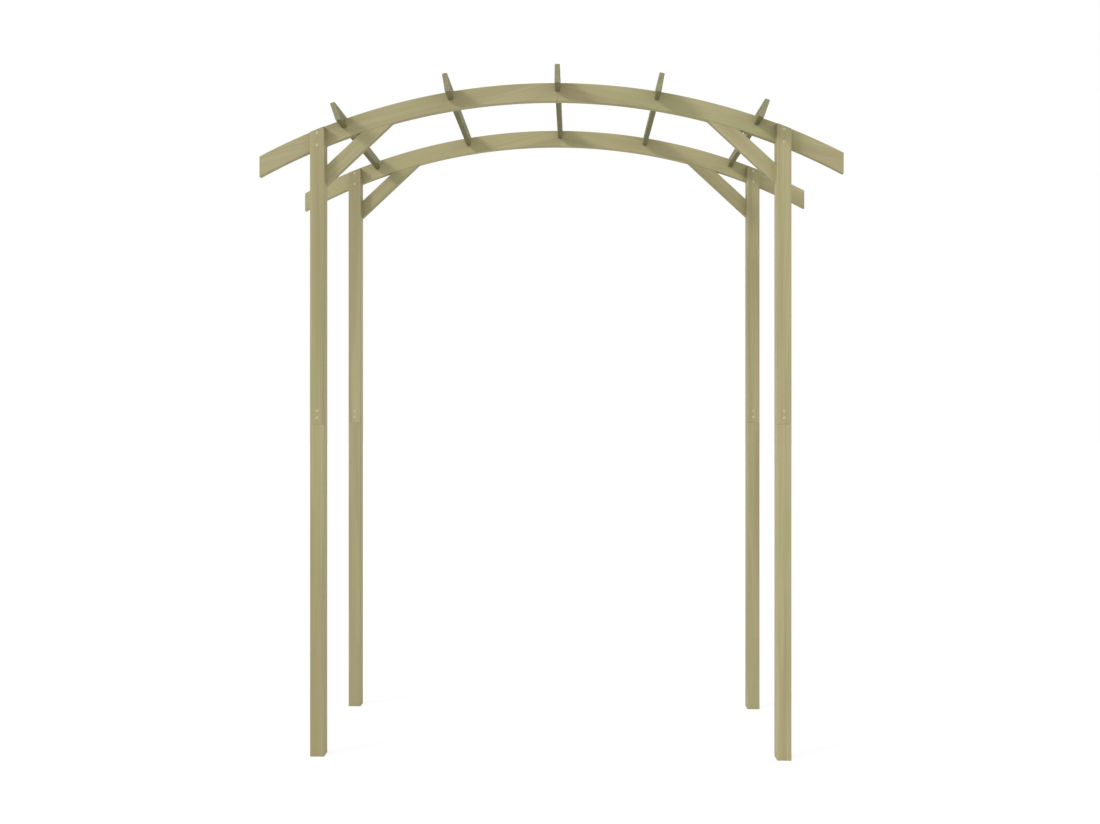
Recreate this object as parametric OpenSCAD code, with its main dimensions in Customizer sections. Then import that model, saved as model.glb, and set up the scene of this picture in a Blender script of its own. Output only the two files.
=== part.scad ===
// Garden pergola of planed, pressure-treated pine. Two arched frames stand one behind
// the other, and five rafters tie them together. Millimetres, Z up, the ground at Z = 0,
// the middle of the footprint at X = Y = 0, the front towards -Y.

/* [Frames] */
// Distance between the centres of the left and right posts
post_spacing = 1466; // [1200:2:2000]
// Distance from the front frame to the back frame
frame_spacing = 534; // [400:2:900]
// Height of the top of the arch above the ground
crown_height = 2127; // [1950:1:2300]

/* [Posts] */
// Side of the square post
post_size = 45; // [40:1:70]
// Height of the middle of the lap that joins the two halves of a post
post_lap_height = 1080; // [600:5:1500]
// Length of that lap
post_lap = 64; // [46:1:120]
// Depth of the top of the post, which is sawn to the curve, below the top of the beam
post_head_drop = 8; // [0:1:12]
// Width of the planed-off corners of posts and rafters
arris = 2; // [0.5:0.5:3]

/* [Arched beams] */
// Radius of the beam's top edge
arch_radius = 2000; // [1500:5:3000]
// Length of the beam beyond the outer face of each post
beam_overhang = 168; // [60:1:250]
// Height of the beam, square to its curve
beam_h = 58; // [45:1:80]
// Thickness of the beams and of the braces
beam_t = 20; // [18:1:30]
// Length of the lap that joins the two halves of a beam
beam_lap = 52; // [44:1:100]

/* [Knee braces] */
// Width of the brace
brace_w = 47; // [35:1:65]
// Angle of the brace above the horizontal
brace_angle = 43; // [35:1:55]
// Depth of the brace's lower end below the beam, along the post
brace_drop = 129; // [100:1:250]

/* [Rafters] */
// Thickness of the rafter
rafter_t = 16; // [12:1:24]
// Height of the rafter
rafter_h = 57; // [45:1:70]
// Height of the rafter above the beam
rafter_rise = 30; // [24:1:40]
// Length of the rafter beyond the face of each beam
rafter_overhang = 86; // [40:2:150]
// Distance from the middle of the outer rafter to the post beside it
rafter_clear = 51; // [30:1:100]

/* [Screws] */
// Diameter of the shank
screw_d = 4; // [3:0.5:5]
// Diameter of the countersunk head
screw_head_d = 8; // [7:0.5:9]
// Wood left beyond the point of a screw in the post laps, post heads and beam laps
screw_cover = 4; // [3:1:8]
// Depth that the rafter and brace screws go into the beam or the post
screw_bite = 38; // [25:1:40]
// Distance between the two screws of a post lap
post_lap_screw_pitch = 22; // [14:1:30]
// Distance from the top of the post down to its upper screw
post_head_screw_top = 11; // [8:1:20]
// Distance from the underside of the beam up to the lower screw of the post head
post_head_screw_foot = 4; // [4:1:12]
// Distance between the two screws of a beam lap
beam_lap_screw_pitch = 28; // [16:1:30]

/* [Clearances] */
// Gap at the end of a lap, at a notch and at a curved seat
joint_gap = 0.3; // [0.2:0.1:1]
// Gap round a screw in its hole
screw_gap = 0.1; // [0.05:0.05:0.3]

/* [Hidden] */
// A side is -1 at the left and 1 at the right, and a frame is -1 in front and 1 behind.
// Rafters are counted from the middle one, 0, out to 2 at each end.
BOTH = [-1, 1];
RAFTERS = [-2 : 2];

// The tongue of the post stands in front of the beam, and the two make up its depth
tongue_t = post_size - beam_t;
post_x = post_spacing / 2;
post_inner_x = post_x - post_size / 2;
arch_centre_z = crown_height - arch_radius;
beam_inner_radius = arch_radius - beam_h;
post_head_radius = arch_radius - post_head_drop;
beam_half_span = post_x + post_size / 2 + beam_overhang;
rafter_length = frame_spacing + beam_t + 2 * rafter_overhang;
rafter_notch = rafter_h - rafter_rise;

// The seam in the front of the beam lap, which the middle rafter covers
beam_seam_x = beam_lap / 2;
// Half the length of each half beam's tongue, short of the other half's shoulder
beam_tongue_x = beam_seam_x - joint_gap;
outer_rafter_x = post_inner_x - rafter_clear;

// The brace's middle line, from the post up to the underside of the beam
brace_foot_z = arch_height(beam_inner_radius, post_inner_x) - brace_drop
    + brace_w / 2 / cos(brace_angle);
brace_run = run_to_arch(post_inner_x, brace_foot_z - arch_centre_z);
brace_head_x = post_inner_x - brace_run * cos(brace_angle);
brace_head_lean = asin(brace_head_x / beam_inner_radius);
// Angles between the brace and its two screws, the one square to the beam and the
// other square to the post
head_screw_tilt = brace_angle - brace_head_lean;
foot_screw_tilt = 90 - brace_angle;

screw_head_h = (screw_head_d - screw_d) / 2;
screw_point_h = screw_d;
recess_w = screw_head_d * 0.55;
recess_t = screw_head_d * 0.14;
recess_h = screw_head_h * 0.7;
// Wood in front of a brace screw's head, after its pocket
head_screw_seat = brace_screw_seat(head_screw_tilt);
foot_screw_seat = brace_screw_seat(foot_screw_tilt);

// How far a cut runs past the face that it opens
past = 1;
wood = "#a8a17f";
steel = "#c4c2b6";
$fn = 48;
arc_fn = 720;

// Height of the arc of a radius at a distance from the middle
function arch_height(radius, x) = arch_centre_z + sqrt(radius ^ 2 - x ^ 2);

// Length of the brace's middle line from x, up above the arch's centre, to the arc
function run_to_arch(x, up) = let (
    half_b = up * sin(brace_angle) - x * cos(brace_angle),
    rest = x ^ 2 + up ^ 2 - beam_inner_radius ^ 2
) sqrt(half_b ^ 2 - rest) - half_b;

// Wood between a brace screw's head and the piece it bites into: the whole head is
// below the brace's edge, which is tilted from square to the screw
function brace_screw_seat(tilt) =
    brace_w / 2 / cos(tilt) - screw_head_d / 2 * tan(tilt) - joint_gap;

function brace_screw_pocket(tilt) = screw_head_d * tan(tilt) + joint_gap + past;

// Front faces of a frame's beam and posts
function beam_face(frame) = (frame * frame_spacing - beam_t) / 2;
function post_face(frame) = beam_face(frame) - tongue_t;
function beam_middle(frame) = beam_face(frame) + beam_t / 2;

// The middle rafter is over the seam, and the inner ones are midway to the outer ones
function rafter_x(rafter) =
    beam_seam_x * (1 - abs(rafter) / 2) + outer_rafter_x * rafter / 2;
function rafter_lean(rafter) = asin(rafter_x(rafter) / arch_radius);

// Draws the right-hand piece as it is, and mirrors it to the left
module on_side(side) {
    mirror([side < 0 ? 1 : 0, 0, 0]) children();
}

// A flat outline, drawn as seen from the front, made as thick as depth behind face
module plank(face, depth) {
    translate([0, face + depth, 0]) rotate([90, 0, 0]) linear_extrude(depth) children();
}

module arch_disc(radius) {
    translate([0, arch_centre_z]) circle(r = radius, $fn = arc_fn);
}

// Rectangle with its corners planed off
module planed_outline(w, d) {
    x = w / 2;
    y = d / 2;
    polygon([
        [x - arris, -y], [x, arris - y], [x, y - arris], [x - arris, y],
        [arris - x, y], [-x, y - arris], [-x, arris - y], [arris - x, -y]
    ]);
}

// Screws: the head's top at Z = 0, the point downwards

module screw(length) {
    difference() {
        rotate_extrude() polygon([
            [0, 0], [screw_head_d / 2, 0], [screw_d / 2, -screw_head_h],
            [screw_d / 2, screw_point_h - length], [0, -length]
        ]);
        for (turn = [0, 90]) rotate([0, 0, turn])
            translate([-recess_w / 2, -recess_t / 2, -recess_h])
                cube([recess_w, recess_t, recess_h + past]);
    }
}

module screw_hole(length, pocket = past) {
    head_r = screw_head_d / 2 + screw_gap;
    shank_r = screw_d / 2 + screw_gap;
    rotate_extrude() polygon([
        [0, pocket], [head_r, pocket], [head_r, 0], [shank_r, -screw_head_h],
        [shank_r, screw_point_h - length], [0, -length - screw_gap]
    ]);
}

// Places of the screws, each with its head towards the hand that drives it

module at_post_lap_screws(side, frame) {
    for (step = BOTH)
        translate([
            side * post_x, post_face(frame),
            post_lap_height + step * post_lap_screw_pitch / 2
        ]) rotate([90, 0, 0]) children();
}

module at_post_head_screws(side, frame) {
    upper_z = arch_height(post_head_radius, post_x) - post_head_screw_top;
    lower_z = arch_height(beam_inner_radius, post_x) + post_head_screw_foot;
    for (z = [lower_z, upper_z])
        translate([side * post_x, post_face(frame), z]) rotate([90, 0, 0]) children();
}

module at_beam_lap_screws(frame) {
    for (step = BOTH)
        translate([
            step * beam_lap_screw_pitch / 2, beam_face(frame) + beam_t,
            crown_height - beam_h / 2
        ]) rotate([-90, 0, 0]) children();
}

module at_brace_foot_screw(side, frame) {
    on_side(side)
        translate([post_inner_x - foot_screw_seat, beam_middle(frame), brace_foot_z])
            rotate([0, -90, 0]) children();
}

module at_brace_head_screw(side, frame) {
    on_side(side)
        translate([0, beam_middle(frame), arch_centre_z]) rotate([0, brace_head_lean, 0])
            translate([0, 0, beam_inner_radius - head_screw_seat])
                rotate([180, 0, 0]) children();
}

// A rafter's own frame: Y along it, Z out from the centre of the arch
module at_rafter(rafter) {
    translate([0, 0, arch_centre_z]) rotate([0, rafter_lean(rafter), 0]) children();
}

module at_rafter_screw(rafter, frame) {
    at_rafter(rafter)
        translate([0, beam_middle(frame), arch_radius + rafter_rise]) children();
}

// Posts

module post_stock(frame, low, high) {
    translate([0, post_face(frame) + post_size / 2, low])
        linear_extrude(high - low) planed_outline(post_size, post_size);
}

// Takes the front half of the post off above low, or the back half off below high
module post_lap_cut(frame, front, low, high) {
    cut_y = front ? post_face(frame) - past : post_face(frame) + post_size / 2;
    translate([-post_size, cut_y, low])
        cube([2 * post_size, post_size / 2 + past, high - low]);
}

module lower_post(side, frame) {
    lap_low = post_lap_height - post_lap / 2;
    lap_high = post_lap_height + post_lap / 2 - joint_gap;
    color(wood) difference() {
        translate([side * post_x, 0, 0]) difference() {
            post_stock(frame, 0, lap_high);
            post_lap_cut(frame, true, lap_low, lap_high + past);
        }
        at_post_lap_screws(side, frame) screw_hole(post_size - screw_cover);
    }
}

module upper_post(side, frame) {
    lap_low = post_lap_height - post_lap / 2 + joint_gap;
    lap_high = post_lap_height + post_lap / 2;
    color(wood) difference() {
        translate([side * post_x, 0, 0]) difference() {
            post_stock(frame, lap_low, crown_height);
            post_lap_cut(frame, false, lap_low - past, lap_high);
        }
        // The top follows the beam, and the notch behind the tongue seats it
        plank(post_face(frame) - past, tongue_t + past)
            above_arch(side, post_head_radius);
        plank(beam_face(frame), beam_t + past)
            above_arch(side, beam_inner_radius - joint_gap);
        at_post_lap_screws(side, frame) screw_hole(post_size - screw_cover);
        at_post_head_screws(side, frame) screw_hole(post_size - screw_cover);
        at_brace_foot_screw(side, frame) screw_hole(foot_screw_seat + screw_bite);
    }
}

// What lies outside an arc, where the post is
module above_arch(side, radius) {
    difference() {
        translate([side * post_x - post_size, post_lap_height + post_lap])
            square([2 * post_size, crown_height]);
        arch_disc(radius);
    }
}

// Arched beams

module beam(side, frame) {
    face = beam_face(frame);
    // The left half keeps the front of the lap and the right half the back
    lap_cut_y = side > 0 ? face - past : face + beam_t / 2;
    color(wood) difference() {
        on_side(side) difference() {
            plank(face, beam_t) half_arch();
            translate([-beam_lap, lap_cut_y, crown_height - 2 * beam_h])
                cube([beam_lap + beam_seam_x, beam_t / 2 + past, 3 * beam_h]);
        }
        at_beam_lap_screws(frame) screw_hole(beam_t - screw_cover);
        at_post_head_screws(side, frame) screw_hole(post_size - screw_cover);
        at_brace_head_screw(side, frame) screw_hole(head_screw_seat + screw_bite);
        for (rafter = [0 : 2])
            at_rafter_screw(side * rafter, frame) screw_hole(rafter_rise + screw_bite);
    }
}

module half_arch() {
    intersection() {
        difference() {
            arch_disc(arch_radius);
            arch_disc(beam_inner_radius);
        }
        translate([-beam_tongue_x, arch_centre_z])
            square([beam_half_span + beam_tongue_x, arch_radius + past]);
    }
}

// Knee braces

module brace(side, frame) {
    color(wood) difference() {
        on_side(side) plank(beam_face(frame), beam_t) brace_outline();
        at_brace_foot_screw(side, frame)
            screw_hole(foot_screw_seat + screw_bite, brace_screw_pocket(foot_screw_tilt));
        at_brace_head_screw(side, frame)
            screw_hole(head_screw_seat + screw_bite, brace_screw_pocket(head_screw_tilt));
    }
}

module brace_outline() {
    intersection() {
        translate([post_inner_x, brace_foot_z]) rotate(180 - brace_angle)
            translate([-brace_w * 2, -brace_w / 2])
                square([brace_run + brace_w * 4, brace_w]);
        square([post_inner_x, crown_height]);
        arch_disc(beam_inner_radius - joint_gap);
    }
}

// Rafters

module rafter(rafter) {
    color(wood) difference() {
        at_rafter(rafter) difference() {
            translate([0, rafter_length / 2, arch_radius - rafter_notch + rafter_h / 2])
                rotate([90, 0, 0]) linear_extrude(rafter_length)
                    planed_outline(rafter_t, rafter_h);
            for (frame = BOTH)
                translate([
                    -rafter_t, beam_face(frame) - joint_gap,
                    arch_radius - rafter_notch - past
                ]) cube([
                    2 * rafter_t, beam_t + 2 * joint_gap, rafter_notch + past + joint_gap
                ]);
        }
        for (frame = BOTH)
            at_rafter_screw(rafter, frame) screw_hole(rafter_rise + screw_bite);
    }
}

// Screws, one group for each kind of joint

module post_splice_screws() {
    color(steel) for (side = BOTH, frame = BOTH)
        at_post_lap_screws(side, frame) screw(post_size - screw_cover);
}

module post_head_screws() {
    color(steel) for (side = BOTH, frame = BOTH)
        at_post_head_screws(side, frame) screw(post_size - screw_cover);
}

module beam_splice_screws() {
    color(steel) for (frame = BOTH)
        at_beam_lap_screws(frame) screw(beam_t - screw_cover);
}

module brace_foot_screws() {
    color(steel) for (side = BOTH, frame = BOTH)
        at_brace_foot_screw(side, frame) screw(foot_screw_seat + screw_bite);
}

module brace_head_screws() {
    color(steel) for (side = BOTH, frame = BOTH)
        at_brace_head_screw(side, frame) screw(head_screw_seat + screw_bite);
}

module rafter_screws() {
    color(steel) for (rafter = RAFTERS, frame = BOTH)
        at_rafter_screw(rafter, frame) screw(rafter_rise + screw_bite);
}

lower_post(-1, -1);  // lower_post_front_left
lower_post(1, -1);  // lower_post_front_right
lower_post(-1, 1);  // lower_post_back_left
lower_post(1, 1);  // lower_post_back_right
upper_post(-1, -1);  // upper_post_front_left
upper_post(1, -1);  // upper_post_front_right
upper_post(-1, 1);  // upper_post_back_left
upper_post(1, 1);  // upper_post_back_right
beam(-1, -1);  // beam_front_left
beam(1, -1);  // beam_front_right
beam(-1, 1);  // beam_back_left
beam(1, 1);  // beam_back_right
brace(-1, -1);  // brace_front_left
brace(1, -1);  // brace_front_right
brace(-1, 1);  // brace_back_left
brace(1, 1);  // brace_back_right
rafter(-2);  // rafter_outer_left
rafter(-1);  // rafter_inner_left
rafter(0);  // rafter_middle
rafter(1);  // rafter_inner_right
rafter(2);  // rafter_outer_right
post_splice_screws();
post_head_screws();
beam_splice_screws();
brace_foot_screws();
brace_head_screws();
rafter_screws();
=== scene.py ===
"""A garden pergola of planed, pressure-treated pine, dressed for its portrait. Metres,
+Z up, the front towards -Y. A side is -1 at the left and 1 at the right, and a row is
-1 for the front frame and 1 for the back one."""
import math
import random

import bmesh
import bpy
from mathutils import Matrix, Vector


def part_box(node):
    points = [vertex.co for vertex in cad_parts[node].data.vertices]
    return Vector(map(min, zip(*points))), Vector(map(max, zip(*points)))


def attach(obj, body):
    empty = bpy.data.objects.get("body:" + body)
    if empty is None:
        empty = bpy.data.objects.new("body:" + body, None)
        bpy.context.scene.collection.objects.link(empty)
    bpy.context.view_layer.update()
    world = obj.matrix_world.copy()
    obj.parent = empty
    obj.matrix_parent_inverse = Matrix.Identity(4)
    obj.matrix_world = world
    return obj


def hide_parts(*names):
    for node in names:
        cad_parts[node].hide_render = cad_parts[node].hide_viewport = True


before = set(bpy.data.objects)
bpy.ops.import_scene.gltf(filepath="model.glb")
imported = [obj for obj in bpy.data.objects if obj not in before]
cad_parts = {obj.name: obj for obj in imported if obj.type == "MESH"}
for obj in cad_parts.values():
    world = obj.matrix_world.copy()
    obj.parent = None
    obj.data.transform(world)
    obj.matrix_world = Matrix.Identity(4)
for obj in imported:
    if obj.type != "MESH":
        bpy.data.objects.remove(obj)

scene = bpy.context.scene
SIDES = {-1: "left", 1: "right"}
ROWS = {-1: "front", 1: "back"}
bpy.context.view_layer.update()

# View
# The photograph was taken from in front, about a metre above the ground and a hand's
# breadth right of the middle, with the camera held level.
photo_w, photo_h = 1100, 824
focal_px = 990.8
horizon_px = 411.5
view_turn = 0.0249

lens = bpy.data.cameras.new("camera")
lens.sensor_fit = "HORIZONTAL"
lens.sensor_width = 36
lens.lens = lens.sensor_width * focal_px / photo_w
lens.shift_y = (horizon_px - photo_h / 2) / photo_w
camera = bpy.data.objects.new("camera", lens)
camera.location = (0.0797, -3.407, 1.0885)
camera.rotation_euler = (math.radians(90), 0, view_turn)
scene.collection.objects.link(camera)
scene.camera = camera

# Studio
# A pale floor under a white, evenly lit room. The key lamp is high and well out to the
# left, so it casts the slanting shadows seen beside the posts and under the rafters, and
# three weak, very broad lamps lift the front and the faces turned away from the key.
scene.view_settings.view_transform = "Standard"
room_light = 0.66
floor_half = 30
floor_paint = (0.7, 0.7, 0.7, 1)
floor_shade = (0.3, 0.3, 0.3, 1)
floor_white = 0.76
lamps = {
    "key": {"power": 1.6, "width": 12, "aside": -57, "up": 32},
    "front_fill": {"power": 0.47, "width": 90, "aside": 10, "up": 10},
    "right_fill": {"power": 0.62, "width": 70, "aside": 75, "up": 5},
    "back_fill": {"power": 0.7, "width": 70, "aside": 170, "up": 12},
}


def add(tree, kind, sockets=None, **settings):
    """Adds a node, with its settings, and each socket's value or the output it reads."""
    made = tree.nodes.new(kind)
    for name, value in settings.items():
        setattr(made, name, value)
    for name, value in (sockets or {}).items():
        if isinstance(value, bpy.types.NodeSocket):
            tree.links.new(value, made.inputs[name])
        else:
            made.inputs[name].default_value = value
    return made


def maths(tree, operation, *values):
    """The result of a Math node."""
    return add(
        tree, "ShaderNodeMath", dict(enumerate(values)), operation=operation
    ).outputs[0]


def direct_look(tree):
    """One where the camera sees a surface itself, or through gloss or glass."""
    path = add(tree, "ShaderNodeLightPath").outputs
    seen = maths(tree, "MAXIMUM", path["Is Camera Ray"], path["Is Glossy Ray"])
    return maths(tree, "MAXIMUM", seen, path["Is Transmission Ray"])


room = bpy.data.worlds.new("room")
room.use_nodes = True
room.node_tree.nodes.clear()
level = add(
    room.node_tree,
    "ShaderNodeMapRange",
    {"Value": direct_look(room.node_tree), "To Min": room_light, "To Max": 1.0},
)
shown = add(
    room.node_tree,
    "ShaderNodeBackground",
    {"Color": (1, 1, 1, 1), "Strength": level.outputs[0]},
)
add(room.node_tree, "ShaderNodeOutputWorld", {"Surface": shown.outputs[0]})
scene.world = room

paint = bpy.data.materials.new("floor_paint")
paint.use_nodes = True
paint.node_tree.nodes.clear()
tree = paint.node_tree
lit = add(tree, "ShaderNodeBsdfDiffuse", {"Color": floor_paint})
shade = add(tree, "ShaderNodeBsdfDiffuse", {"Color": floor_shade})
glow = add(tree, "ShaderNodeEmission", {"Strength": floor_white})
white = add(tree, "ShaderNodeAddShader", {0: shade.outputs[0], 1: glow.outputs[0]})
either = add(
    tree,
    "ShaderNodeMixShader",
    {0: direct_look(tree), 1: lit.outputs[0], 2: white.outputs[0]},
)
add(tree, "ShaderNodeOutputMaterial", {"Surface": either.outputs[0]})

sheet = bmesh.new()
bmesh.ops.create_grid(sheet, x_segments=1, y_segments=1, size=floor_half)
floor_mesh = bpy.data.meshes.new("floor")
sheet.to_mesh(floor_mesh)
sheet.free()
floor = bpy.data.objects.new("floor", floor_mesh)
floor_mesh.materials.append(paint)
scene.collection.objects.link(floor)

for name, lamp in lamps.items():
    light = bpy.data.lights.new(name, "SUN")
    light.energy = lamp["power"]
    light.angle = math.radians(lamp["width"])
    aside = math.radians(lamp["aside"])
    up = math.radians(lamp["up"])
    lit_from = Vector((math.sin(aside), -math.cos(aside), math.tan(up)))
    hung = bpy.data.objects.new(name, light)
    hung.rotation_euler = lit_from.to_track_quat("Z", "Y").to_euler()
    scene.collection.objects.link(hung)

# Lower halves of the posts
# Square planed pine, eased along its corners and sawn off square at the foot. The upper
# half's tongue lies in the lap at its head, and two screws from in front hold it there.
eased = 0.0024
end_eased = 0.0003
saw_past = 0.002
joint_gap = 0.0003
hole_sides = 32
crease = math.radians(31)

low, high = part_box("lower_post_front_right")
post_size = high.x - low.x
post_x = (low.x + high.x) / 2
post_face = {row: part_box(f"lower_post_{name}_right")[0].y for row, name in ROWS.items()}
lap_top = high.z + joint_gap
lap_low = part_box("upper_post_front_right")[0].z - joint_gap

screw_d = 0.004
screw_head_d = 0.008
screw_head_h = (screw_head_d - screw_d) / 2
screw_point_h = screw_d
screw_gap = 0.0001
screw_cover = 0.004
post_screw = post_size - screw_cover
post_lap_pitch = 0.022


def planed_section(width, depth, ease, steps=4):
    """Outline of planed timber, with its corners rounded off."""
    points = []
    for turn, (x, y) in enumerate([(1, 1), (-1, 1), (-1, -1), (1, -1)]):
        middle = Vector((x * (width / 2 - ease), y * (depth / 2 - ease), 0))
        for step in range(steps + 1):
            angle = math.pi / 2 * (turn + step / steps)
            points.append(middle + ease * Vector((math.cos(angle), math.sin(angle), 0)))
    return points


def solid(name, rings):
    """Object closed round its rings of points, from the first to the last."""
    mesh = bmesh.new()
    loops = [[mesh.verts.new(point) for point in ring] for ring in rings]
    for one, other in zip(loops, loops[1:]):
        for start in range(len(one)):
            end = (start + 1) % len(one)
            mesh.faces.new((one[start], one[end], other[end], other[start]))
    mesh.faces.new(loops[0])
    mesh.faces.new(loops[-1])
    bmesh.ops.recalc_face_normals(mesh, faces=mesh.faces)
    data = bpy.data.meshes.new(name)
    mesh.to_mesh(data)
    mesh.free()
    made = bpy.data.objects.new(name, data)
    scene.collection.objects.link(made)
    return made


def moved(points, place, up=0.0):
    return [place @ (point + Vector((0, 0, up))) for point in points]


def stick(name, place, width, depth, length):
    """Straight planed timber along its own Z, from place, with its sawn ends eased."""
    whole = planed_section(width, depth, eased)
    trimmed = planed_section(
        width - 2 * end_eased, depth - 2 * end_eased, eased - end_eased
    )
    return solid(name, [
        moved(trimmed, place), moved(whole, place, end_eased),
        moved(whole, place, length - end_eased), moved(trimmed, place, length),
    ])


def block(low, high, place=Matrix()):
    """Room that a saw cut takes, between two corners."""
    corners = [
        Vector((x, y, 0)) for x, y in
        [(low[0], low[1]), (high[0], low[1]), (high[0], high[1]), (low[0], high[1])]
    ]
    return solid("cut", [moved(corners, place, z) for z in (low[2], high[2])])


def make_real(piece):
    """Makes the piece's modifiers part of its mesh."""
    seen = piece.evaluated_get(bpy.context.evaluated_depsgraph_get())
    made = bpy.data.meshes.new_from_object(seen)
    piece.modifiers.clear()
    piece.data = made


def take_away(piece, *cutters):
    """Cuts the cutters out of the piece, one after the other."""
    for cutter in cutters:
        cut = piece.modifiers.new("cut", "BOOLEAN")
        cut.operation = "DIFFERENCE"
        cut.solver = "EXACT"
        cut.object = cutter
    make_real(piece)
    for cutter in cutters:
        bpy.data.objects.remove(cutter)


def driven(head, out):
    """Place of a screw: the middle of its head, and +Z out to the screwdriver."""
    turn = Vector(out).to_track_quat("Z", "Y").to_matrix().to_4x4()
    return Matrix.Translation(head) @ turn


def bore(piece, screws, length, pocket=saw_past):
    """Drills and countersinks a hole in the piece for each of the screws."""
    head_r = screw_head_d / 2 + screw_gap
    shank_r = screw_d / 2 + screw_gap
    profile = [
        (head_r, pocket), (head_r, 0), (shank_r, -screw_head_h),
        (shank_r, screw_point_h - length), (screw_gap, -length),
    ]
    around = [math.tau * step / hole_sides for step in range(hole_sides)]
    take_away(piece, *[
        solid("hole", [
            [place @ Vector((r * math.cos(a), r * math.sin(a), z)) for a in around]
            for r, z in profile
        ])
        for place in screws
    ])


def post_lap_screws(side, row):
    return [
        driven((side * post_x, post_face[row], height), (0, -1, 0))
        for height in [
            (lap_low + lap_top + step * post_lap_pitch) / 2 for step in (-1, 1)
        ]
    ]


def post_stick(name, side, row, low, high):
    """Square stick for half a post, standing from low to high."""
    foot = Vector((side * post_x, post_face[row] + post_size / 2, low))
    return stick(name, Matrix.Translation(foot), post_size, post_size, high - low)


def lay_grain(piece, along, across, heart, tone=0, bandsawn=False):
    """Gives each point its place in the tree that the piece was sawn from: along the
    trunk, and across and out from the heart. The tone is how many hundredths lighter
    this piece is coloured than its fellows. Faces hold how far they cut across the
    grain, how far they belong to an eased corner, where a painted highlight goes, and
    whether they are an edge that was bandsawn to a curve."""
    rng = random.Random(piece.name)
    along = Vector(along).normalized()
    across = Vector(across).normalized()
    out = along.cross(across)
    mesh = piece.data
    corners = [Vector(corner) for corner in piece.bound_box]
    middle = sum(corners, Vector()) / len(corners)
    start = rng.uniform(0, 40)
    grain = mesh.attributes.new("grain", "FLOAT_VECTOR", "POINT")
    for vertex, value in zip(mesh.vertices, grain.data):
        place = vertex.co - middle
        value.vector = (
            place.dot(along) + start,
            place.dot(across) + heart[0],
            place.dot(out) + heart[1],
        )
    lighter = (tone + rng.uniform(-1, 1)) / 100
    stored = mesh.attributes.new("tone", "FLOAT", "POINT")
    stored.data.foreach_set("value", [lighter] * len(mesh.vertices))
    end = mesh.attributes.new("end_grain", "FLOAT", "FACE")
    corner = mesh.attributes.new("corner", "FLOAT", "FACE")
    sawn = mesh.attributes.new("sawn_edge", "FLOAT", "FACE")
    for face, cut_across, rounded, edge in zip(
        mesh.polygons, end.data, corner.data, sawn.data
    ):
        lean = [abs(face.normal.dot(way)) for way in (along, across, out)]
        is_edge = bandsawn and lean[2] < 0.5 and lean[0] < 0.8
        cut_across.value = 0 if is_edge else lean[0] ** 2
        # How far a face belongs to an eased corner, which the shader paints with a
        # highlight
        rounded.value = 0 if is_edge else 1 - max(lean) ** 8
        edge.value = is_edge


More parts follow.
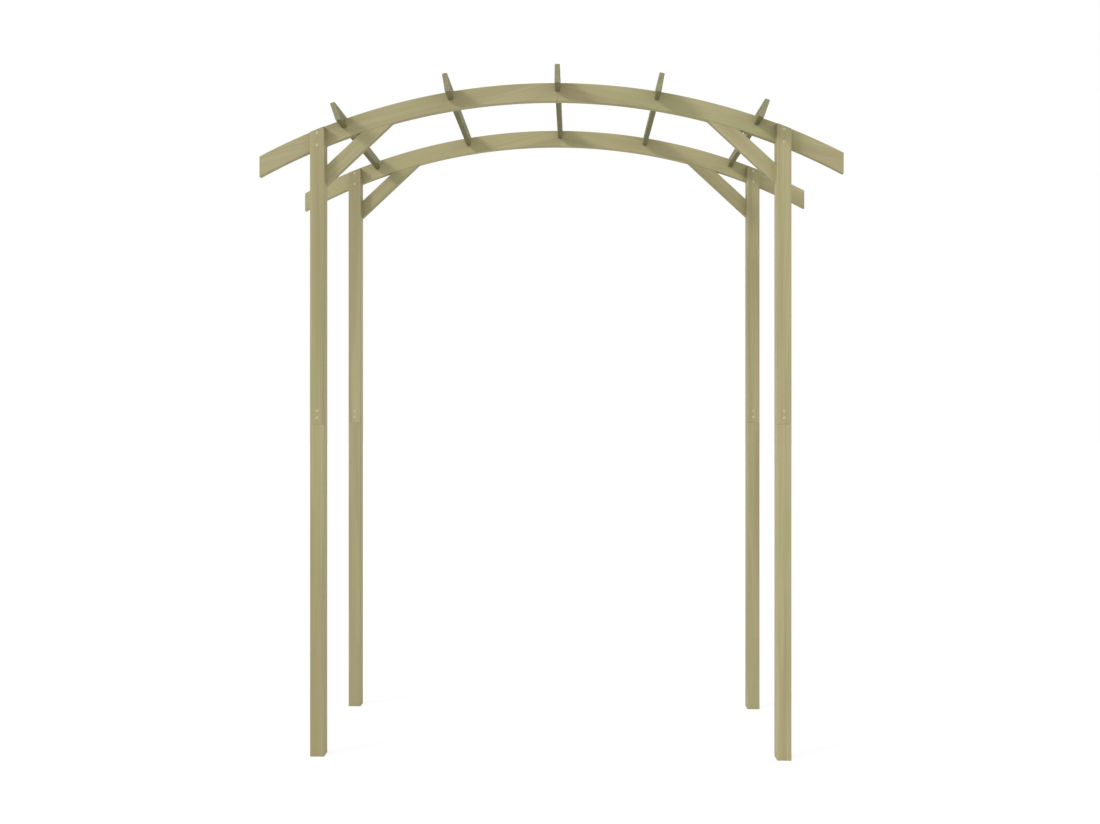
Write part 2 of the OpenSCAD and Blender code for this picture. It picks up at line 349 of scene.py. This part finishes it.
def planed_pine():
    """Shader group of planed, pressure-treated pine, grown round its tree's heart."""
    group = bpy.data.node_groups.new("planed_pine", "ShaderNodeTree")
    inputs = {
        "Grain": "Vector", "Tone": "Float", "End Grain": "Float", "Corner": "Float",
        "Sawn Edge": "Float", "Early Wood": "Color", "Late Wood": "Color",
        "Green": "Color", "Brown": "Color", "Sawn End": "Color", "Ring Width": "Float",
        "Figure": "Float", "Mottle": "Float", "Fibre": "Float",
    }
    outputs = {"Color": "Color", "Roughness": "Float", "Height": "Float"}
    for in_out, sockets in (("INPUT", inputs), ("OUTPUT", outputs)):
        for name, kind in sockets.items():
            group.interface.new_socket(
                name, in_out=in_out, socket_type=f"NodeSocket{kind}"
            )
    given = add(group, "NodeGroupInput").outputs

    def vectors(operation, one, other):
        return add(
            group, "ShaderNodeVectorMath", {0: one, 1: other}, operation=operation
        ).outputs[0]

    def noise(along, across, detail=2.0, rough=0.5):
        place = vectors("MULTIPLY", given["Grain"], (along, across, across))
        return add(
            group, "ShaderNodeTexNoise",
            {"Vector": place, "Scale": 1.0, "Detail": detail, "Roughness": rough},
        ).outputs

    def ramp(value, low, high, start=0.0, end=1.0):
        return add(
            group, "ShaderNodeMapRange",
            {"Value": value, "From Min": low, "From Max": high, "To Min": start,
             "To Max": end},
            interpolation_type="SMOOTHSTEP",
        ).outputs[0]

    def mix(factor, one, other):
        return add(
            group, "ShaderNodeMix", {0: factor, 6: one, 7: other}, data_type="RGBA"
        ).outputs[2]

    def math_of(operation, *values):
        return maths(group, operation, *values)

    # Growth rings, which wander a little along the trunk and stand closer here and there
    wander = vectors("SUBTRACT", noise(1.1, 5.0, 1.0)["Color"], (0.5, 0.5, 0.5))
    wander = vectors("MULTIPLY", wander, (0, 0.022, 0.022))
    place = add(
        group, "ShaderNodeSeparateXYZ", {0: vectors("ADD", given["Grain"], wander)}
    ).outputs
    heart = math_of(
        "SQRT",
        math_of(
            "ADD", math_of("MULTIPLY", place[1], place[1]),
            math_of("MULTIPLY", place[2], place[2]),
        ),
    )
    grown = math_of("MULTIPLY_ADD", place[0], 0.004, heart)
    years = math_of("DIVIDE", grown, given["Ring Width"])
    uneven = add(
        group, "ShaderNodeTexNoise", {"W": years, "Scale": 0.31, "Detail": 1.0},
        noise_dimensions="1D",
    ).outputs["Fac"]
    season = math_of("FRACT", math_of("MULTIPLY_ADD", uneven, 2.2, years))
    late = math_of("MULTIPLY", ramp(season, 0.35, 0.88), ramp(season, 1.0, 0.9))

    # Fibres, streaks and the soft tints that the treatment leaves
    fibre = noise(9.0, 1100.0, 3.0)["Fac"]
    streak = noise(1.6, 130.0, 3.0, 0.6)["Fac"]
    band = noise(0.9, 26.0)["Fac"]
    patch = noise(2.6, 11.0)["Fac"]

    color = mix(
        math_of("MULTIPLY", late, given["Figure"]), given["Early Wood"],
        given["Late Wood"],
    )
    color = mix(
        math_of("MULTIPLY", ramp(patch, 0.5, 0.72), given["Mottle"]), color,
        given["Green"],
    )
    color = mix(
        math_of("MULTIPLY", ramp(band, 0.48, 0.7), given["Mottle"]), color,
        given["Brown"],
    )
    rings = ramp(late, 0.0, 1.0, 1.0, 0.78)
    sawn_end = add(
        group, "ShaderNodeVectorMath", {0: given["Sawn End"], "Scale": rings},
        operation="SCALE",
    ).outputs[0]
    color = mix(ramp(given["End Grain"], 0.3, 0.9), color, sawn_end)

    # Marks of the bandsaw, which stand across its edges a tooth's reach apart
    saw_marks = noise(420.0, 4.0, 1.0)["Fac"]
    saw_marks = math_of(
        "MULTIPLY", math_of("SUBTRACT", saw_marks, 0.5), given["Sawn Edge"]
    )
    light = math_of("SUBTRACT", math_of("ADD", streak, fibre), 1.0)
    light = math_of("MULTIPLY_ADD", light, given["Fibre"], 1.0)
    light = math_of("ADD", light, given["Tone"])
    # Eased corners are painted lighter: a painted highlight along the arrises
    light = math_of("MULTIPLY_ADD", given["Corner"], 0.09, light)
    # Bandsawn edges are painted a tenth lighter: painted light that lifts the shade on
    # the beams' undersides
    light = math_of("MULTIPLY_ADD", given["Sawn Edge"], 0.1, light)
    light = math_of("MULTIPLY_ADD", saw_marks, 0.35, light)
    color = add(
        group, "ShaderNodeVectorMath", {0: color, "Scale": light}, operation="SCALE"
    ).outputs[0]
    rough = math_of("MULTIPLY_ADD", late, -0.1, 0.72)
    rough = math_of("MULTIPLY_ADD", given["End Grain"], 0.15, rough)
    height = math_of("MULTIPLY_ADD", late, 0.6, fibre)
    height = math_of("MULTIPLY_ADD", saw_marks, 5.0, height)
    add(group, "NodeGroupOutput", {"Color": color, "Roughness": rough, "Height": height})
    return group


pine_group = planed_pine()


def pine(name, gloss=0.3, **values):
    """Pine material, from the shader group and this timber's own values."""
    made = bpy.data.materials.new(name)
    made.use_nodes = True
    tree = made.node_tree
    tree.nodes.clear()
    wood = add(tree, "ShaderNodeGroup", node_tree=pine_group)
    for socket, attribute, output in (
        ("Grain", "grain", "Vector"), ("Tone", "tone", "Fac"),
        ("End Grain", "end_grain", "Fac"), ("Corner", "corner", "Fac"),
        ("Sawn Edge", "sawn_edge", "Fac"),
    ):
        stored = add(tree, "ShaderNodeAttribute", attribute_name=attribute)
        tree.links.new(stored.outputs[output], wood.inputs[socket])
    for socket, value in values.items():
        wood.inputs[socket.replace("_", " ").title()].default_value = value
    relief = add(
        tree, "ShaderNodeBump",
        {"Strength": 0.35, "Distance": 0.0003, "Height": wood.outputs["Height"]},
    )
    surface = add(
        tree, "ShaderNodeBsdfPrincipled",
        {"Base Color": wood.outputs["Color"], "Roughness": wood.outputs["Roughness"],
         "Specular IOR Level": gloss, "Normal": relief.outputs[0]},
    )
    add(tree, "ShaderNodeOutputMaterial", {"Surface": surface.outputs[0]})
    return made


treated_pine = dict(
    early_wood=(0.4, 0.36, 0.196, 1), late_wood=(0.31, 0.262, 0.128, 1),
    green=(0.345, 0.345, 0.16, 1), brown=(0.325, 0.276, 0.15, 1),
    sawn_end=(0.35, 0.31, 0.175, 1), figure=0.32, mottle=0.55, fibre=0.25,
)
post_pine = pine("post_pine", ring_width=0.004, **treated_pine | {"mottle": 0.7})
lower_post_heart = (0.03, -0.045)
post_tones = {"front_left": -4, "front_right": 2, "back_left": 0, "back_right": -6}


def dress(piece, node, material):
    """Smooths the eased corners, and puts the piece in the place of its CAD node."""
    mesh = piece.data
    mesh.materials.clear()
    mesh.materials.append(material)
    mesh.shade_smooth()
    mesh.set_sharp_from_angle(angle=crease)
    even = piece.modifiers.new("even", "WEIGHTED_NORMAL")
    even.keep_sharp = True
    make_real(piece)
    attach(piece, "root")
    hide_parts(node)


screw_places = {"post_splice_screws": []}
for row, row_name in ROWS.items():
    for side, side_name in SIDES.items():
        node = f"lower_post_{row_name}_{side_name}"
        post = post_stick(f"pine_{node}", side, row, 0, lap_top - joint_gap)
        take_away(post, block(
            (side * post_x - post_size, post_face[row] - saw_past, lap_low),
            (side * post_x + post_size, post_face[row] + post_size / 2,
             lap_top + saw_past),
        ))
        screws = post_lap_screws(side, row)
        bore(post, screws, post_screw)
        screw_places["post_splice_screws"] += screws
        tone = post_tones[f"{row_name}_{side_name}"]
        lay_grain(post, (0, 0, 1), (side, 0, 0), lower_post_heart, tone)
        dress(post, node, post_pine)

# Upper halves of the posts
# The same square pine. The foot keeps the front half for the lap, and the head is notched
# behind a tongue, which stands in front of the beam and is sawn off to its curve.
arch_radius = 2.0
beam_h = 0.058
beam_low, beam_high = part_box("beam_front_right")
beam_t = beam_high.y - beam_low.y
beam_end_x = beam_high.x
arch_centre_z = beam_high.z - arch_radius
beam_inner_radius = arch_radius - beam_h
beam_face = {row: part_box(f"beam_{name}_right")[0].y for row, name in ROWS.items()}
post_head_drop = 0.008
post_head_radius = arch_radius - post_head_drop
post_head_screw_top = 0.011
post_head_screw_foot = 0.004
post_head_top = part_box("upper_post_front_right")[1].z
head_arc_steps = 60
upper_post_heart = (-0.035, -0.05)


def arch_place(lean, radius=0.0, y=0.0):
    """Place on the arch: +Z out from its centre, leaning from upright towards +X."""
    centre = Matrix.Translation((0, 0, arch_centre_z))
    return centre @ Matrix.Rotation(lean, 4, "Y") @ Matrix.Translation((0, y, radius))


def arch_height(radius, x):
    return arch_centre_z + math.sqrt(radius ** 2 - x ** 2)


def bent(name, points, lean_from, lean_to, steps):
    """Solid whose section of points (distance from the arch's centre, y) follows the
    arch from one lean to another."""
    section = [Vector((0, y, radius)) for radius, y in points]
    leans = [lean_from + (lean_to - lean_from) * k / steps for k in range(steps + 1)]
    return solid(name, [moved(section, arch_place(lean)) for lean in leans])


def room_above(side, radius, y_from, y_to):
    """Room outside an arc, over the post's head."""
    spread = post_size * 4
    outer = radius + spread
    corners = [(radius, y_from), (radius, y_to), (outer, y_to), (outer, y_from)]
    leans = [math.asin(side * (post_x + x) / radius) for x in (-spread, spread)]
    return bent("cut", corners, *leans, head_arc_steps)


def post_head_screws(side, row):
    heights = (
        arch_height(beam_inner_radius, post_x) + post_head_screw_foot,
        arch_height(post_head_radius, post_x) - post_head_screw_top,
    )
    return [
        driven((side * post_x, post_face[row], height), (0, -1, 0))
        for height in heights
    ]


# Knee brace sizes, as its lower screw bites into the post
brace_w = 0.047
brace_angle = math.radians(43)
brace_drop = 0.129
brace_bite = 0.038
post_inner_x = post_x - post_size / 2
brace_foot_z = (
    arch_height(beam_inner_radius, post_inner_x) - brace_drop
    + brace_w / 2 / math.cos(brace_angle)
)


def brace_seat(tilt):
    """Wood between a brace screw's head, which lies below the brace's edge, and the
    piece that the screw bites into."""
    return brace_w / 2 / math.cos(tilt) - screw_head_d / 2 * math.tan(tilt) - joint_gap


foot_tilt = math.pi / 2 - brace_angle
foot_screw = brace_seat(foot_tilt) + brace_bite


def brace_foot_screws(side, row):
    x = side * (post_inner_x - brace_seat(foot_tilt))
    return [driven((x, beam_face[row] + beam_t / 2, brace_foot_z), (-side, 0, 0))]


screw_places["post_head_screws"] = []
screw_places["brace_foot_screws"] = []
for row, row_name in ROWS.items():
    for side, side_name in SIDES.items():
        node = f"upper_post_{row_name}_{side_name}"
        post = post_stick(
            f"pine_{node}", side, row, lap_low + joint_gap, post_head_top + saw_past
        )
        front = post_face[row]
        back = front + post_size
        take_away(
            post,
            block(
                (side * post_x - post_size, front + post_size / 2, lap_low - saw_past),
                (side * post_x + post_size, back + saw_past, lap_top),
            ),
            room_above(side, post_head_radius, front - saw_past, beam_face[row]),
            room_above(
                side, beam_inner_radius - joint_gap, beam_face[row], back + saw_past
            ),
        )
        bore(post, post_lap_screws(side, row), post_screw)
        screws = post_head_screws(side, row)
        bore(post, screws, post_screw)
        screw_places["post_head_screws"] += screws
        screws = brace_foot_screws(side, row)
        bore(post, screws, foot_screw)
        screw_places["brace_foot_screws"] += screws
        tone = post_tones[f"{row_name}_{side_name}"]
        lay_grain(post, (0, 0, 1), (side, 0, 0), upper_post_heart, tone)
        dress(post, node, post_pine)

# Arched beams
# Each beam is two halves, bandsawn to the curve from a wide flat board, so the grain runs
# straight along the half. They lap over each other at the crown, under the middle
# rafter, and two screws from behind hold the lap.
beam_pine = pine("beam_pine", ring_width=0.0052, **treated_pine | {"figure": 0.24})
beam_ease = 0.0016
beam_steps = 96
beam_spare = 1.02
sky = 3
beam_seam_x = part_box("beam_front_left")[1].x + joint_gap
beam_tongue_x = beam_seam_x - joint_gap
beam_screw = beam_t - screw_cover
beam_lap_pitch = 0.028
beam_heart = (0.01, 0.052)
# The back beams are coloured lighter than the front ones
beam_tones = {"front_left": -4, "front_right": -1, "back_left": 7, "back_right": 6}

rafter_low, rafter_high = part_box("rafter_middle")
rafter_t = 0.016
rafter_h = 0.057
rafter_rise = 0.03
outer_rafter_x = post_inner_x - 0.051
rafter_bite = 0.038
rafter_screw = rafter_rise + rafter_bite

# Middle of the brace's head, on the underside of the beam
up = brace_foot_z - arch_centre_z
half_b = up * math.sin(brace_angle) - post_inner_x * math.cos(brace_angle)
brace_run = math.sqrt(
    half_b ** 2 - post_inner_x ** 2 - up ** 2 + beam_inner_radius ** 2
) - half_b
brace_head_x = post_inner_x - brace_run * math.cos(brace_angle)
brace_head_lean = math.asin(brace_head_x / beam_inner_radius)
head_tilt = brace_angle - brace_head_lean
head_screw = brace_seat(head_tilt) + brace_bite


def beam_lap_screws(row):
    return [
        driven(
            (step * beam_lap_pitch / 2, beam_face[row] + beam_t,
             beam_high.z - beam_h / 2),
            (0, 1, 0),
        )
        for step in (-1, 1)
    ]


def brace_head_screws(side, row):
    return [
        arch_place(
            side * brace_head_lean, beam_inner_radius - brace_seat(head_tilt),
            beam_face[row] + beam_t / 2,
        ) @ Matrix.Rotation(math.pi, 4, "X")
    ]


def rafter_lean(number):
    x = beam_seam_x * (1 - abs(number) / 2) + outer_rafter_x * number / 2
    return math.asin(x / arch_radius)


def rafter_screws(lean, row):
    return [arch_place(lean, arch_radius + rafter_rise, beam_face[row] + beam_t / 2)]


screw_places["beam_splice_screws"] = []
screw_places["brace_head_screws"] = []
for row, row_name in ROWS.items():
    front = beam_face[row]
    back = front + beam_t
    middle = front + beam_t / 2
    screw_places["beam_splice_screws"] += beam_lap_screws(row)
    section = [
        (arch_radius - beam_h / 2 + point.x, middle + point.y)
        for point in planed_section(beam_h, beam_t, beam_ease)
    ]
    for side, side_name in SIDES.items():
        node = f"beam_{row_name}_{side_name}"
        beam = bent(
            f"pine_{node}", section, -side * beam_h / arch_radius,
            side * math.asin(beam_end_x / beam_inner_radius) * beam_spare, beam_steps,
        )
        lap_from, lap_to = (
            (front - saw_past, middle) if side > 0 else (middle, back + saw_past)
        )
        xs = sorted((-side * beam_h * 2, -side * beam_tongue_x))
        lap_xs = sorted((-side * beam_h * 2, side * beam_seam_x))
        end_xs = sorted((side * beam_end_x, side * (beam_end_x + beam_h * 2)))
        take_away(
            beam,
            block((xs[0], front - saw_past, 0), (xs[1], back + saw_past, sky)),
            block((lap_xs[0], lap_from, 0), (lap_xs[1], lap_to, sky)),
            block((end_xs[0], front - saw_past, 0), (end_xs[1], back + saw_past, sky)),
        )
        bore(beam, beam_lap_screws(row), beam_screw)
        bore(beam, post_head_screws(side, row), post_screw)
        screws = brace_head_screws(side, row)
        bore(beam, screws, head_screw)
        screw_places["brace_head_screws"] += screws
        for number in range(3):
            screws = rafter_screws(rafter_lean(side * number), row)
            bore(beam, screws, rafter_screw)
        low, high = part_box(node)
        chord = Vector((side * (high.x - low.x), 0, low.z + beam_h - high.z))
        tone = beam_tones[f"{row_name}_{side_name}"]
        lay_grain(beam, chord, (-chord.z, 0, chord.x), beam_heart, tone, bandsawn=True)
        dress(beam, node, beam_pine)

# Knee braces
# Short straight planed timber in the plane of the beam. It stands against the inner face
# of the post and is sawn off to the curve under the beam, and one screw from below holds
# each end, its head sunk into the brace's edge.
brace_pine = pine("brace_pine", ring_width=0.0045, **treated_pine)
brace_heart = (0.02, 0.048)
# The left braces are coloured darker than the right ones: partly their own tone, and
# partly painted shade that deepens the posts' shadows on them
brace_tone_and_shade = {"front_left": -6, "front_right": 0, "back_left": -7, "back_right": 1}


def brace_pocket(tilt):
    return screw_head_d * math.tan(tilt) + joint_gap + saw_past


for row, row_name in ROWS.items():
    front = beam_face[row]
    back = front + beam_t
    for side, side_name in SIDES.items():
        node = f"brace_{row_name}_{side_name}"
        along = Vector((-side * math.cos(brace_angle), 0, math.sin(brace_angle)))
        across = Vector((0, 1, 0)).cross(along)
        turn = Matrix((across, (0, 1, 0), along)).transposed().to_4x4()
        foot = Vector((side * post_inner_x, (front + back) / 2, brace_foot_z))
        start = Matrix.Translation(foot - along * brace_w * 2) @ turn
        brace = stick(f"pine_{node}", start, brace_w, beam_t, brace_run + brace_w * 4)
        post_xs = sorted((side * post_inner_x, side * (post_inner_x + brace_w * 3)))
        radius = beam_inner_radius - joint_gap
        outer = radius + brace_w * 4
        corners = [
            (radius, front - saw_past), (radius, back + saw_past),
            (outer, back + saw_past), (outer, front - saw_past),
        ]
        take_away(
            brace,
            block((post_xs[0], front - saw_past, 0), (post_xs[1], back + saw_past, sky)),
            bent("cut", corners, 0, side * math.asin(post_x / radius), beam_steps),
        )
        bore(brace, brace_foot_screws(side, row), foot_screw, brace_pocket(foot_tilt))
        bore(brace, brace_head_screws(side, row), head_screw, brace_pocket(head_tilt))
        tone = brace_tone_and_shade[f"{row_name}_{side_name}"]
        lay_grain(brace, along, across, brace_heart, tone)
        dress(brace, node, brace_pine)

# Rafters
# Five thin planed laths on edge, square to the arch and notched over both beams, each
# held by a screw down into either beam. The middle one covers the seam of the beam laps.
# The long faces are coloured far darker than the sawn ends: partly a darker, greyer
# timber, and partly painted shade for the shade on the rafters' sides and undersides
rafter_pine = pine(
    "rafter_pine", gloss=0.08, ring_width=0.0036,
    early_wood=(0.215, 0.2, 0.103, 1), late_wood=(0.168, 0.15, 0.071, 1),
    green=(0.187, 0.19, 0.084, 1), brown=(0.181, 0.158, 0.082, 1),
    sawn_end=(0.3, 0.282, 0.17, 1), figure=0.35, mottle=0.6, fibre=0.3,
)
rafter_names = {
    -2: "rafter_outer_left", -1: "rafter_inner_left", 0: "rafter_middle",
    1: "rafter_inner_right", 2: "rafter_outer_right",
}
rafter_heart = (0.012, 0.03)

screw_places["rafter_screws"] = []
for number, node in rafter_names.items():
    # It is cut and bored upright, and then leaned over into its place
    radius = arch_radius + rafter_rise - rafter_h / 2
    end = arch_place(0, radius, rafter_low.y) @ Matrix.Rotation(-math.pi / 2, 4, "X")
    rafter = stick(
        f"pine_{node}", end, rafter_t, rafter_h, rafter_high.y - rafter_low.y
    )
    notch_low = arch_radius + rafter_rise - rafter_h - saw_past
    take_away(rafter, *[
        block(
            (-rafter_t, beam_face[row] - joint_gap, notch_low),
            (rafter_t, beam_face[row] + beam_t + joint_gap, arch_radius + joint_gap),
            arch_place(0),
        )
        for row in ROWS
    ])
    lean = rafter_lean(number)
    for row in ROWS:
        bore(rafter, rafter_screws(0, row), rafter_screw)
        screw_places["rafter_screws"] += rafter_screws(lean, row)
    rafter.data.transform(arch_place(lean) @ arch_place(0).inverted())
    tangent = Vector((math.cos(lean), 0, -math.sin(lean)))
    lay_grain(rafter, (0, 1, 0), tangent, rafter_heart)
    dress(rafter, node, rafter_pine)

# Screws
# Countersunk wood screws, dull zinc, with a cross recess and a coarse thread. One is
# grown on each point of a joint's group, turned by its own amount as it was driven.
cross_wide = 0.0046
cross_thin = 0.0011
cross_deep = 0.0015
thread_pitch = 0.0018
thread_deep = 0.0005
screw_sides = 20
rings_a_turn = 5
screw_crease = math.radians(35)

zinc_bright = (0.7, 0.66, 0.47, 1)
zinc_dull = (0.5, 0.46, 0.32, 1)


def dull_zinc():
    """Zinc that has clouded over a little in the open air."""
    made = bpy.data.materials.new("dull_zinc")
    made.use_nodes = True
    tree = made.node_tree
    tree.nodes.clear()
    place = add(tree, "ShaderNodeTexCoord").outputs["Object"]
    cloud = add(
        tree, "ShaderNodeTexNoise", {"Vector": place, "Scale": 900.0, "Detail": 3.0}
    ).outputs["Fac"]
    speck = add(
        tree, "ShaderNodeTexNoise", {"Vector": place, "Scale": 6000.0, "Detail": 2.0}
    ).outputs["Fac"]
    color = add(
        tree, "ShaderNodeMix", {0: cloud, 6: zinc_bright, 7: zinc_dull}, data_type="RGBA"
    ).outputs[2]
    rough = maths(tree, "MULTIPLY_ADD", cloud, 0.3, 0.45)
    relief = add(
        tree, "ShaderNodeBump", {"Strength": 0.3, "Distance": 0.00005, "Height": speck}
    )
    surface = add(
        tree, "ShaderNodeBsdfPrincipled",
        {"Base Color": color, "Roughness": rough, "Metallic": 0.6,
         "Normal": relief.outputs[0]},
    )
    add(tree, "ShaderNodeOutputMaterial", {"Surface": surface.outputs[0]})
    return made


def screw_tree():
    """Geometry tree that drives a screw at each point, with its head out along "out"."""
    tree = bpy.data.node_groups.new("wood_screws", "GeometryNodeTree")
    tree.interface.new_socket("Points", in_out="INPUT", socket_type="NodeSocketGeometry")
    sizes = {
        "Length": post_screw, "Shank Diameter": screw_d, "Head Diameter": screw_head_d,
        "Head Height": screw_head_h, "Point Height": screw_point_h,
        "Thread Pitch": thread_pitch, "Thread Depth": thread_deep,
        "Cross Width": cross_wide, "Cross Thickness": cross_thin,
        "Cross Depth": cross_deep,
    }
    for name, size in sizes.items():
        tree.interface.new_socket(
            name, in_out="INPUT", socket_type="NodeSocketFloat"
        ).default_value = size
    tree.interface.new_socket("Seed", in_out="INPUT", socket_type="NodeSocketInt")
    tree.interface.new_socket("Zinc", in_out="INPUT", socket_type="NodeSocketMaterial")
    tree.interface.new_socket("Screws", in_out="OUTPUT", socket_type="NodeSocketGeometry")
    given = add(tree, "NodeGroupInput").outputs

    def math_of(operation, *values):
        return maths(tree, operation, *values)

    def vector(x=0.0, y=0.0, z=0.0):
        return add(tree, "ShaderNodeCombineXYZ", {0: x, 1: y, 2: z}).outputs[0]

    def slid(geometry, offset):
        return add(
            tree, "GeometryNodeTransform", {"Geometry": geometry, "Translation": offset}
        ).outputs[0]

    # Body: a tube of rings from the head's rim down to the point, whose radius is drawn
    # in under the head and at the point, and whose thread winds once round in each pitch
    rings = math_of("DIVIDE", given["Length"], given["Thread Pitch"])
    rings = math_of("CEIL", math_of("MULTIPLY", rings, rings_a_turn))
    body = add(
        tree, "GeometryNodeMeshCylinder",
        {"Vertices": screw_sides, "Side Segments": rings, "Radius": 1.0,
         "Depth": given["Length"]},
    ).outputs["Mesh"]
    body = slid(body, vector(z=math_of("MULTIPLY", given["Length"], -0.5)))
    place = add(tree, "GeometryNodeInputPosition").outputs[0]
    place = add(tree, "ShaderNodeSeparateXYZ", {0: place}).outputs
    down = math_of("MULTIPLY", place[2], -1.0)
    shank = math_of("MULTIPLY", given["Shank Diameter"], 0.5)
    head = math_of("MULTIPLY", given["Head Diameter"], 0.5)

    def fall(start, height, high, low):
        return add(
            tree, "ShaderNodeMapRange",
            {"Value": down, "From Min": start,
             "From Max": math_of("ADD", start, height), "To Min": high, "To Max": low},
        ).outputs[0]

    cone = fall(0.0, given["Head Height"], head, shank)
    point_start = math_of("SUBTRACT", given["Length"], given["Point Height"])
    taper = fall(point_start, given["Point Height"], 1.0, 0.06)
    turn = math_of("DIVIDE", math_of("ARCTAN2", place[1], place[0]), math.tau)
    wind = math_of("ADD", math_of("DIVIDE", down, given["Thread Pitch"]), turn)
    ridge = math_of("PINGPONG", wind, 0.5)
    ridge = add(
        tree, "ShaderNodeMapRange",
        {"Value": ridge, "From Min": 0.0, "From Max": 0.26, "To Min": 0.0, "To Max": 1.0},
        interpolation_type="SMOOTHSTEP",
    ).outputs[0]
    threaded = fall(math_of("MULTIPLY", given["Head Height"], 1.6), 0.002, 0.0, 1.0)
    groove = math_of("MULTIPLY", ridge, threaded)
    groove = math_of("MULTIPLY", groove, given["Thread Depth"])
    radius = math_of("MULTIPLY", math_of("SUBTRACT", cone, groove), taper)
    grown = add(
        tree, "GeometryNodeSetPosition",
        {"Geometry": body,
         "Position": vector(
             math_of("MULTIPLY", place[0], radius), math_of("MULTIPLY", place[1], radius),
             place[2],
         )},
    ).outputs[0]

    # Cross recess: two thin wedges, one across the other, taken out of the head
    wedge = add(
        tree, "GeometryNodeMeshCone",
        {"Vertices": 4, "Radius Top": 0.35, "Radius Bottom": math.sqrt(0.5),
         "Depth": 2.0},
    ).outputs["Mesh"]
    wedge = add(
        tree, "GeometryNodeTransform",
        {"Geometry": wedge, "Rotation": (math.pi, 0, math.pi / 4),
         "Translation": (0, 0, 1)},
    ).outputs[0]
    wedge = add(
        tree, "GeometryNodeTransform",
        {"Geometry": wedge,
         "Scale": vector(
             given["Cross Width"], given["Cross Thickness"], given["Cross Depth"]
         )},
    ).outputs[0]
    wedge = slid(wedge, vector(z=math_of("MULTIPLY", given["Cross Depth"], -1.0)))
    crossed = add(
        tree, "GeometryNodeTransform",
        {"Geometry": wedge, "Rotation": (0, 0, math.pi / 2)},
    ).outputs[0]
    cut = add(tree, "GeometryNodeMeshBoolean", operation="DIFFERENCE", solver="EXACT")
    tree.links.new(grown, cut.inputs["Mesh 1"])
    tree.links.new(crossed, cut.inputs["Mesh 2"])
    tree.links.new(wedge, cut.inputs["Mesh 2"])

    # One at each point, its head out, turned about its own length by chance
    out = add(
        tree, "GeometryNodeInputNamedAttribute", {"Name": "out"},
        data_type="FLOAT_VECTOR",
    ).outputs[0]
    aimed = add(
        tree, "FunctionNodeAlignRotationToVector", {"Vector": out}, axis="Z"
    ).outputs[0]
    chance = add(
        tree, "FunctionNodeRandomValue", {2: 0.0, 3: math.pi, "Seed": given["Seed"]},
        data_type="FLOAT",
    ).outputs[1]
    spin = add(
        tree, "FunctionNodeAxisAngleToRotation", {"Axis": (0, 0, 1), "Angle": chance}
    ).outputs[0]
    turned = add(
        tree, "FunctionNodeRotateRotation", {0: aimed, 1: spin}, rotation_space="LOCAL"
    ).outputs[0]
    placed = add(
        tree, "GeometryNodeInstanceOnPoints",
        {"Points": given["Points"], "Instance": cut.outputs[0], "Rotation": turned},
    ).outputs[0]
    real = add(tree, "GeometryNodeRealizeInstances", {0: placed}).outputs[0]
    real = add(
        tree, "GeometryNodeSetMaterial", {"Geometry": real, "Material": given["Zinc"]}
    ).outputs[0]
    add(tree, "NodeGroupOutput", {"Screws": real})
    return tree


wood_screws = screw_tree()
zinc = dull_zinc()
screw_lengths = {
    "post_splice_screws": post_screw, "post_head_screws": post_screw,
    "beam_splice_screws": beam_screw, "brace_foot_screws": foot_screw,
    "brace_head_screws": head_screw, "rafter_screws": rafter_screw,
}
for seed, (node, places) in enumerate(screw_places.items()):
    mesh = bpy.data.meshes.new(node)
    mesh.from_pydata([place.translation for place in places], [], [])
    out = mesh.attributes.new("out", "FLOAT_VECTOR", "POINT")
    for value, place in zip(out.data, places):
        value.vector = place.col[2].xyz
    screws = bpy.data.objects.new(f"zinc_{node}", mesh)
    scene.collection.objects.link(screws)
    grow = screws.modifiers.new("screws", "NODES")
    grow.node_group = wood_screws
    chosen = {"Length": screw_lengths[node], "Seed": seed, "Zinc": zinc}
    for socket in wood_screws.interface.items_tree:
        if socket.name in chosen:
            grow[socket.identifier] = chosen[socket.name]
    make_real(screws)
    screws.data.shade_smooth()
    screws.data.set_sharp_from_angle(angle=screw_crease)
    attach(screws, "root")
    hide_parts(node)
